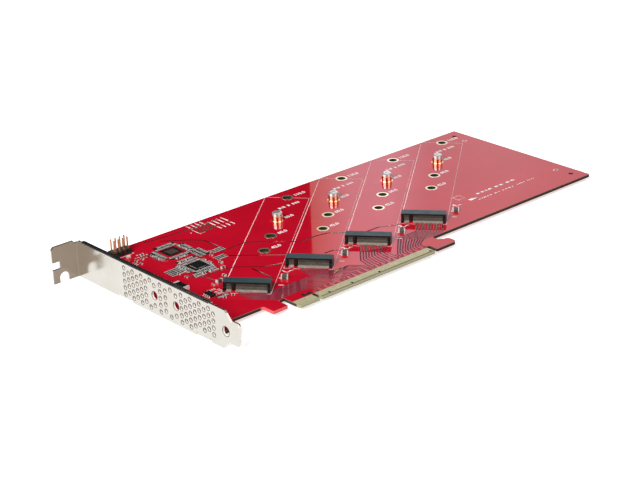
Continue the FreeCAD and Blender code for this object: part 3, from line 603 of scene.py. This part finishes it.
# rows of four strokes: first x, step, lower end, upper end
strokeRows = ((67.6, 2.7, 105.0, 109.9), (78.6, 2.7, 100.6, 106.9), (78.3, 2.75, 95.3, 99.0))
headerPrint = {
    "strokes": [[(x + step * k, low), (x + step * k, high)]
                for x, step, low, high in strokeRows for k in range(4)],
    "strokeWidth": 0.75,
    "corners": [[(66.6, 104.0), (66.6, 97.6), (70.0, 97.6)], [(18.0, 101.6), (29.8, 101.6), (29.8, 108.6)],
                [(64.0, 101.0), (64.0, 101.9)]],
    "cornerWidth": 0.4,
}
printStrips("headerStrokes", headerPrint["strokes"], headerPrint["strokeWidth"])
printStrips("headerCorners", headerPrint["corners"], headerPrint["cornerWidth"])
print("numbers and marks printed")

# traces under the mask, each a straight-run route in millimetres
tracks = {
    "width": 0.85, "thick": 0.03,
    "routes": [
        [(40.5, 108.2), (58.0, 106.0), (84.0, 106.0)],
        [(47.0, 104.0), (56.5, 96.5), (62.5, 90.0), (63.0, 79.0), (60.0, 72.0)],
        [(60.5, 73.0), (75.5, 73.0), (94.5, 54.5), (104.0, 54.5), (110.5, 53.0), (117.0, 47.0)],
        [(123.5, 41.0), (133.0, 40.5), (139.5, 36.5), (145.0, 36.5)],
        [(59.0, 67.0), (79.0, 47.0)],
        [(93.0, 36.0), (98.5, 35.5), (102.5, 31.5)],
        [(36.5, 56.0), (46.5, 56.0), (53.0, 54.0), (62.5, 44.5), (71.5, 41.5)],
        [(57.4, 47.0), (57.4, 31.0)],
        [(30.4, 62.7), (36.2, 55.5), (37.4, 44.5)],
        [(29.7, 96.7), (32.3, 92.3), (32.3, 84.2), (35.4, 82.3)],
    ],
}
settle(stripPiece("maskedTracks", tracks["routes"], tracks["width"], tracks["thick"]), made["trackMask"])

# the last run of a lane drops from the bend to the foot, both heights in millimetres
lanes = {"count": 10, "width": 0.72, "thick": 0.022, "rear": -4.6, "across": (2.9, -9.1), "bend": 7.4,
         "foot": 6.1, "pair": 1.1, "pairPitch": 3.75}
laneBays = (
    # first foot, then the bends of the first and of the last lane
    {"foot": 62.0, "first": ((35.4, 28.6), (35.6, 21.2), (43.2, 12.6), (59.6, 12.4), (62.4, 9.4)),
     "last": ((45.5, 21.6), (46.6, 21.3), (50.4, 21.2), (69.0, 20.8), (78.4, 11.0))},
    {"foot": 79.6, "first": ((72.0, 28.0), (71.2, 20.0), (75.0, 14.8), (79.0, 10.2), (79.7, 8.6)),
     "last": ((81.4, 20.8), (83.2, 18.4), (86.0, 17.6), (91.0, 17.2), (95.8, 12.4))},
    {"foot": 97.2, "first": ((104.0, 23.2), (98.8, 17.2), (98.2, 14.2), (97.4, 11.0), (97.3, 8.6)),
     "last": ((117.6, 20.0), (114.6, 17.2), (114.0, 14.2), (114.0, 11.0), (114.2, 8.6))},
    {"foot": 115.2, "first": ((141.6, 24.0), (129.6, 23.8), (121.4, 15.8), (115.8, 10.2), (115.3, 8.6)),
     "last": ((150.0, 14.4), (136.6, 14.0), (132.4, 11.6), (131.2, 10.2), (131.2, 8.6))},
)


def between(first, last, share):
    return tuple(low + (high - low) * share for low, high in zip(first, last))


for number, spec in enumerate(laneBays):
    routes = []
    for k in range(lanes["count"]):
        share = k / (lanes["count"] - 1)
        first, last = lanes["across"]
        start = onBay(lanes["rear"], first + (last - first) * share, number)
        foot = spec["foot"] + (k // 2) * lanes["pairPitch"] + (k % 2) * lanes["pair"]
        bends = [between(a, b, share) for a, b in zip(spec["first"], spec["last"])]
        routes.append([start, *bends, (foot, lanes["bend"]), (foot, lanes["foot"])])
    lane = stripPiece("laneTracks_%d" % (number + 1), routes, lanes["width"], lanes["thick"])
    settle(lane, made["laneMask"])
contactMarks = {
    # links from the contacts before the key: first x, count, ends, width, thickness
    "links": {"x": 48.0, "count": 10, "ends": (6.2, 7.0), "width": 0.45, "thick": 0.022},
    # the bare ends of shorter contacts
    "bare": {"places": (65.2, 79.2, 96.2, 129.2), "half": 0.55, "y": 2.0, "width": 1.0, "thick": 0.07},
    # dark marks at the key
    "key": {"routes": [[(54.2, 7.9), (56.8, 7.2)], [(57.4, 7.4), (59.4, 7.4)]], "width": 1.5, "thick": 0.3},
}
marks = contactMarks["links"]
links = [[(marks["x"] + k, y) for y in marks["ends"]] for k in range(marks["count"])]
settle(stripPiece("contactLinks", links, marks["width"], marks["thick"]), made["darkMarksAndShade"])
marks = contactMarks["bare"]
bareEnds = [[(x - marks["half"], marks["y"]), (x + marks["half"], marks["y"])] for x in marks["places"]]
settle(stripPiece("bareEnds", bareEnds, marks["width"], marks["thick"], lift=0.0), made["darkMarksAndShade"])
marks = contactMarks["key"]
settle(stripPiece("keyMarks", marks["routes"], marks["width"], marks["thick"]), made["darkMarksAndShade"])
print("tracks laid")


# how high a pad stands, and how its top is drawn in
padForm = {"dome": 0.05, "sink": -0.003, "rise": 0.6, "cap": 0.4, "inset": 0.18}


def padRow(start, step, count, size, dome=padForm["dome"]):
    # one pad raised from a plane, then repeated along its row
    clearSelection()
    bpy.ops.mesh.primitive_plane_add(size=1, location=(0, 0, 0))
    pad = bpy.context.object
    bpy.ops.object.mode_set(mode="EDIT")
    bpy.ops.mesh.select_all(action="SELECT")
    bpy.ops.transform.resize(value=(size[0] * mm, size[1] * mm, 1))
    bpy.ops.transform.translate(value=(0, 0, padForm["sink"] * mm))
    bpy.ops.mesh.extrude_region_move(TRANSFORM_OT_translate={"value": (0, 0, dome * padForm["rise"] * mm)})
    bpy.ops.mesh.inset(thickness=min(size) * padForm["inset"] * mm, depth=dome * padForm["cap"] * mm)
    bpy.ops.object.mode_set(mode="OBJECT")
    if count > 1:
        row = pad.modifiers.new("row", "ARRAY")
        row.count = count
        row.use_relative_offset = False
        row.use_constant_offset = True
        row.constant_offset_displace = (step[0] * mm, step[1] * mm, 0)
        bpy.ops.object.modifier_apply(modifier=row.name)
    pad.location = (start[0] * mm, start[1] * mm, 0)
    selectOnly([pad])
    bpy.ops.object.transform_apply(location=True, rotation=True, scale=True)
    return pad


def joinPads(name, rows, material):
    pads = [padRow(*row) for row in rows]
    selectOnly(pads)
    if len(pads) > 1:
        bpy.ops.object.join()
    piece = bpy.context.object
    piece.name = name
    bpy.ops.object.mode_set(mode="EDIT")
    bpy.ops.mesh.select_all(action="SELECT")
    bpy.ops.mesh.normals_make_consistent(inside=False)
    bpy.ops.object.mode_set(mode="OBJECT")
    return settle(piece, material)


spare = {"x": 43.6, "y": 90.2, "plate": 5.0}
tall, wide = (0.72, 1.7), (1.7, 0.72)
rightward, upward = (1.12, 0), (0, 1.12)
# each row: start, step, count, size
chipPads = [
    ((37.2, 73.4), rightward, 10, tall), ((37.2, 75.7), rightward, 10, tall),
    ((38.4, 78.0), rightward, 8, tall),
    ((47.4, 64.0), upward, 9, wide), ((36.6, 64.0), upward, 9, wide), ((34.2, 65.0), upward, 9, wide),
    ((37.2, 63.0), rightward, 10, tall), ((34.2, 60.7), rightward, 12, tall),
    ((33.4, 58.4), rightward, 6, tall), ((41.6, 58.4), rightward, 5, tall),
]
sparePads = [
    ((39.2, 96.2), rightward, 11, tall), ((41.4, 98.5), rightward, 8, tall), ((36.8, 85.6), upward, 10, wide),
    ((34.5, 84.8), upward, 7, wide),
    ((50.4, 85.4), upward, 9, wide), ((52.8, 87.0), upward, 6, wide), ((38.2, 84.0), rightward, 11, tall),
    ((40.0, 81.8), rightward, 6, tall),
    ((49.8, 75.6), (0, 1.3), 7, wide), ((52.3, 76.0), (0, 1.3), 8, wide), ((54.8, 77.6), (0, 1.3), 6, wide),
]
sidePads = [
    ((29.2, 98.3), (1.6, 0), 3, (0.9, 0.9)), ((26.6, 95.8), (1.6, 0), 5, (0.9, 0.9)),
    ((26.2, 93.4), (1.6, 0), 4, (0.9, 0.9)),
    ((27.4, 41.7), (1.2, 0), 4, tall), ((26.8, 33.2), (1.2, 0), 5, tall), ((29.6, 36.2), (0, 1.3), 3, wide),
    ((32.0, 37.6), (0, 1.3), 3, wide), ((22.6, 89.2), (0, 1.5), 3, wide), ((20.6, 91.4), (0, 1.5), 3, wide),
]
longStrips = [
    ((60.0, 74.4), (0, 1.5), 3, (7.6, 0.62)), ((55.8, 66.6), (0, 1.6), 3, (6.6, 0.62)),
    ((30.0, 66.6), (0, 1.6), 5, (7.8, 0.62)),
]
# painted shade under and round the groups of pads: middle and size
padShade = {"dome": 0.02, "places": [
    ((60.0, 75.9), (7.2, 3.8)), ((55.8, 68.2), (6.2, 4.1)), ((30.0, 69.8), (7.0, 7.2)),
    ((42.2, 76.4), (11.4, 4.4)), ((47.4, 68.5), (2.0, 10.6)), ((35.4, 69.6), (4.2, 10.8)),
    ((41.0, 60.9), (12.6, 4.6)),
    ((44.8, 97.3), (12.2, 4.4)), ((35.8, 90.0), (4.4, 11.0)), ((51.4, 90.0), (4.6, 10.2)),
    ((43.4, 83.2), (12.0, 3.2)), ((52.2, 79.8), (6.6, 9.4)), ((43.6, 90.2), (9.0, 9.0)),
    ((42.2, 68.2), (10.6, 10.6)), ((29.2, 33.6), (6.4, 2.6)),
]}
padShadeRows = [(at, (0, 0), 1, size, padShade["dome"]) for at, size in padShade["places"]]
joinPads("padShade", padShadeRows, made["darkMarksAndShade"])
joinPads("chipPads", chipPads, made["padTin"])
joinPads("sparePads", sparePads, made["padTin"])
joinPads("sidePads", sidePads, made["padTin"])
joinPads("longStrips", longStrips, made["padTin"])
plate = ((spare["x"], spare["y"]), (0, 0), 1, (spare["plate"], spare["plate"]))
joinPads("sparePlate", [plate], made["bareCopperPad"])
headerRows = [((spareHeader["x"], spareHeader["y"] + spareHeader["pitch"] * k), (spareHeader["pitch"], 0),
               spareHeader["columns"], spareHeader["pad"]) for k in range(spareHeader["rows"])]
joinPads("spareHeaderPads", headerRows, made["bareCopperPad"])
print("pads soldered")

# a dark rim round each vent, its dark colour painted shade at the hole's edge, placed by the bracket's own
# rows and columns
vents = {
    "small": 1.1, "large": 2.1, "pitch": 3.26, "middle": 6.05, "tongue": (-5.5, 5.6, 2.4),
    "skipped": (5.9, 14.3),
    # first column, distance between columns, and number of columns
    "fields": ((67.0, 3.19, 8), (40.4, 3.8, 4), (25.2, 3.19, 8)),
    "rows": ((-2, -1, 0, 1, 2), (-1.5, -0.5, 0.5, 1.5)),
    "thick": 0.13, "inside": 0.02, "squash": 0.7, "segments": (28, 6),
}
ventPlaces = [vents["tongue"]]
for number, (first, pitch, columns) in enumerate(vents["fields"]):
    split = number < len(vents["fields"]) - 1
    for column in range(columns):
        y = first - column * pitch
        rows = vents["rows"][column % 2]
        if split and column >= columns - 2:
            rows = (rows[0], rows[-1])
        if not column % 2 and vents["skipped"][0] < y < vents["skipped"][1]:
            rows = rows[1:]
        ventPlaces += [(y, vents["middle"] + row * vents["pitch"], vents["small"]) for row in rows]
    if split:
        ventPlaces.append((y, vents["middle"], vents["large"]))
rims = []
for y, z, radius in ventPlaces:
    clearSelection()
    bpy.ops.mesh.primitive_torus_add(
        location=(vents["inside"] * mm, y * mm, z * mm), rotation=(0, math.pi / 2, 0),
        major_segments=vents["segments"][0], minor_segments=vents["segments"][1],
        major_radius=(radius - vents["inside"]) * mm, minor_radius=vents["thick"] * mm)
    bpy.ops.object.mode_set(mode="EDIT")
    bpy.ops.mesh.select_all(action="SELECT")
    bpy.ops.transform.resize(value=(vents["squash"], 1, 1))
    bpy.ops.object.mode_set(mode="OBJECT")
    rims.append(bpy.context.object)
selectOnly(rims)
bpy.ops.object.join()
rims = bpy.context.object
rims.name = "ventRims"
settle(rims, made["ventRimShade"])
print("vents rimmed:", len(ventPlaces))

# the floor's glow is left out under the card, in a rectangle like those of the board: a painted shadow
# deepening the card's own
stage = {"floor": -3.49, "reach": 6.0, "at": (0.1, 0.05), "pale": 0.90, "glow": 0.62,
         "shaded": (8.0, 262.0, 20.0, 108.0)}
clearSelection()
bpy.ops.mesh.primitive_plane_add(size=stage["reach"], location=(*stage["at"], stage["floor"] * mm))
floor = bpy.context.object
floor.name = "floor"
floorMaterial = bpy.data.materials.new("paleFloor")
floorMaterial.use_nodes = True
tree = floorMaterial.node_tree
tree.nodes.clear()
path = place(tree, "ShaderNodeLightPath").outputs
seen = reckon(tree, "MAXIMUM", path["Is Camera Ray"], path["Is Transmission Ray"])
lift = reckon(tree, "MULTIPLY", seen, stage["glow"])
ground = place(tree, "ShaderNodeSeparateXYZ", {0: place(tree, "ShaderNodeNewGeometry").outputs["Position"]})
lift = reckon(tree, "MULTIPLY", lift, reckon(tree, "SUBTRACT", 1.0, zoneMask(tree, ground, stage["shaded"])))
matt = place(tree, "ShaderNodeBsdfDiffuse", {"Color": (stage["pale"], stage["pale"], stage["pale"], 1)})
glow = place(tree, "ShaderNodeEmission", {"Color": (1, 1, 1, 1), "Strength": lift})
both = place(tree, "ShaderNodeAddShader", {0: matt.outputs[0], 1: glow.outputs[0]})
place(tree, "ShaderNodeOutputMaterial", {0: both.outputs[0]})
floor.data.materials.append(floorMaterial)
floor.visible_glossy = False  # metal mirrors the world's own pale table instead

studio = {
    "edge": 40.67, "dark": (0.012, 0.012, 0.014), "top": (0.5, 0.5, 0.5), "topFades": (40, 52),
    "fill": (0.14, 0.56), "fillFades": (0.5, -0.5),
    "table": (0.96, 0.95, 0.93), "tableNear": (0.40, 0.33, 0.28), "tableFades": (-0.35, 0.25),
    # degrees round from the soft box's upright edge, and its brightness there
    "panel": ((-150.0, (0.12, 0.12, 0.12)), (-75.0, (0.12, 0.12, 0.12)), (-68.0, (0.012, 0.012, 0.014)),
              (-8.0, (0.012, 0.012, 0.014)),
              (-3.0, (0.62, 0.62, 0.50)), (0.03, (0.62, 0.62, 0.50)), (0.9, (0.97, 0.97, 1.0)),
              (1.9, (1.38, 1.42, 1.58)), (3.2, (1.22, 1.24, 1.36)),
              (4.3, (0.86, 0.88, 0.93)), (6.7, (1.0, 1.02, 1.02)), (9.5, (0.88, 0.86, 0.90)),
              (42.0, (0.85, 0.85, 0.85)), (50.0, (0.42, 0.41, 0.40)),
              (108.0, (0.42, 0.41, 0.40)), (150.0, (0.12, 0.12, 0.12))), "brightest": 2.0, "darkSide": 20.0,
    # two upright strip lights, which show only where one polished face mirrors another
    "strips": ((-152.0, 0.0), (-148.0, 1.0), (-98.0, 1.0), (-94.0, 0.0), (108.0, 0.0), (112.0, 0.5),
               (152.0, 0.5), (156.0, 0.0)), "stripLight": 8.0, "mirrorings": 2.5,
}
world = bpy.data.worlds.new("softStudio")
bpy.context.scene.world = world
world.use_nodes = True
tree = world.node_tree
tree.nodes.clear()
outward = place(tree, "ShaderNodeTexCoord").outputs["Generated"]
direction = place(tree, "ShaderNodeSeparateXYZ", {0: outward}).outputs
turn = math.radians(studio["edge"])
sideways = reckon(tree, "MULTIPLY", direction[0], math.cos(turn))
sideways = reckon(tree, "MULTIPLY_ADD", direction[1], -math.sin(turn), sideways)
forward = reckon(tree, "MULTIPLY", direction[0], math.sin(turn))
forward = reckon(tree, "MULTIPLY_ADD", direction[1], math.cos(turn), forward)
bearing = reckon(tree, "ARCTAN2", sideways, forward)
bearing = place(tree, "ShaderNodeMapRange",
                {"Value": bearing, "From Min": -math.pi, "From Max": math.pi}).outputs["Result"]


def roundStop(degrees, colour):
    # a bearing as a place on the colour band
    return degrees / 360.0 + 0.5, colour


panelStops = [roundStop(degrees, [part / studio["brightest"] for part in colour])
              for degrees, colour in studio["panel"]]
stripStops = [roundStop(degrees, (share, share, share)) for degrees, share in studio["strips"]]
band = ramp(tree, bearing, panelStops)
strips = ramp(tree, bearing, stripStops)
path = place(tree, "ShaderNodeLightPath").outputs
again = reckon(tree, "GREATER_THAN", path["Ray Depth"], studio["mirrorings"])
again = reckon(tree, "MULTIPLY", again, studio["stripLight"])
strips = place(tree, "ShaderNodeVectorMath", {0: strips, "Scale": again}, operation="SCALE")
# the soft box starts at a clean line
before = reckon(tree, "LESS_THAN", bearing, 0.5)
after = reckon(tree, "GREATER_THAN", bearing, 0.5 - studio["darkSide"] / 360.0)
hidden = reckon(tree, "MULTIPLY", before, after)
banded = place(tree, "ShaderNodeVectorMath", {0: band, "Scale": studio["brightest"]}, operation="SCALE")
bright = blend(tree, hidden, banded.outputs[0], (*studio["dark"], 1))
bright = place(tree, "ShaderNodeVectorMath", {0: bright, 1: strips.outputs[0]}, operation="ADD")
lowest, highest = [math.sin(math.radians(degrees)) for degrees in studio["topFades"]]
high = place(tree, "ShaderNodeMapRange", {"Value": direction[2], "From Min": lowest, "From Max": highest})
around = blend(tree, high.outputs["Result"], bright.outputs[0], (*studio["top"], 1))
# the table as polished metal sees it: pale away from the lens, browner on the near side
near = place(tree, "ShaderNodeMapRange",
             {"Value": direction[1], "From Min": studio["tableFades"][0],
              "From Max": studio["tableFades"][1]},
             interpolation_type="SMOOTHSTEP")
table = blend(tree, near.outputs["Result"], (*studio["tableNear"], 1), (*studio["table"], 1))
mirrored = blend(tree, reckon(tree, "LESS_THAN", direction[2], 0.0), around, table)
soft = place(tree, "ShaderNodeMapRange", {
    "Value": direction[0], "From Min": studio["fillFades"][0], "From Max": studio["fillFades"][1],
    "To Min": studio["fill"][0], "To Max": studio["fill"][1]}).outputs["Result"]
soft = place(tree, "ShaderNodeCombineXYZ", {0: soft, 1: soft, 2: soft})
fillLight = blend(tree, path["Is Glossy Ray"], soft.outputs[0], mirrored)
clear = reckon(tree, "MAXIMUM", path["Is Camera Ray"], path["Is Transmission Ray"])
shown = blend(tree, clear, fillLight, (1, 1, 1, 1))
backdrop = place(tree, "ShaderNodeBackground", {0: shown})
place(tree, "ShaderNodeOutputWorld", {0: backdrop.outputs[0]})

lamps = {
    "keyLamp": {"at": (-0.95, -0.42, 0.80), "size": 0.55, "power": 21.5},
    "topLamp": {"at": (0.45, 0.35, 1.25), "size": 0.9, "power": 1.6},
}
middle = Vector((0.12, 0.055, 0.0))
for name, lamp in lamps.items():
    clearSelection()
    bpy.ops.object.light_add(type="AREA", location=lamp["at"])
    light = bpy.context.object
    light.name = name
    light.data.shape = "DISK"
    light.data.size = lamp["size"]
    light.data.energy = lamp["power"]
    light.rotation_euler = (middle - Vector(lamp["at"])).to_track_quat("-Z", "Y").to_euler()
    light.visible_camera = False
    light.visible_glossy = False

camera = {"at": (-0.4022, -0.5314, 0.3264), "turned": (66.988, 1.906, -41.768), "lens": 97.88, "sensor": 36.0,
          "nearest": 0.02}
clearSelection()
bpy.ops.object.camera_add(location=camera["at"], rotation=[math.radians(a) for a in camera["turned"]])
view = bpy.context.object
view.data.lens = camera["lens"]
view.data.sensor_width = camera["sensor"]
view.data.clip_start = camera["nearest"]
bpy.context.scene.camera = view
bpy.context.scene.view_settings.view_transform = "Standard"
print("stage, lamps and camera set")
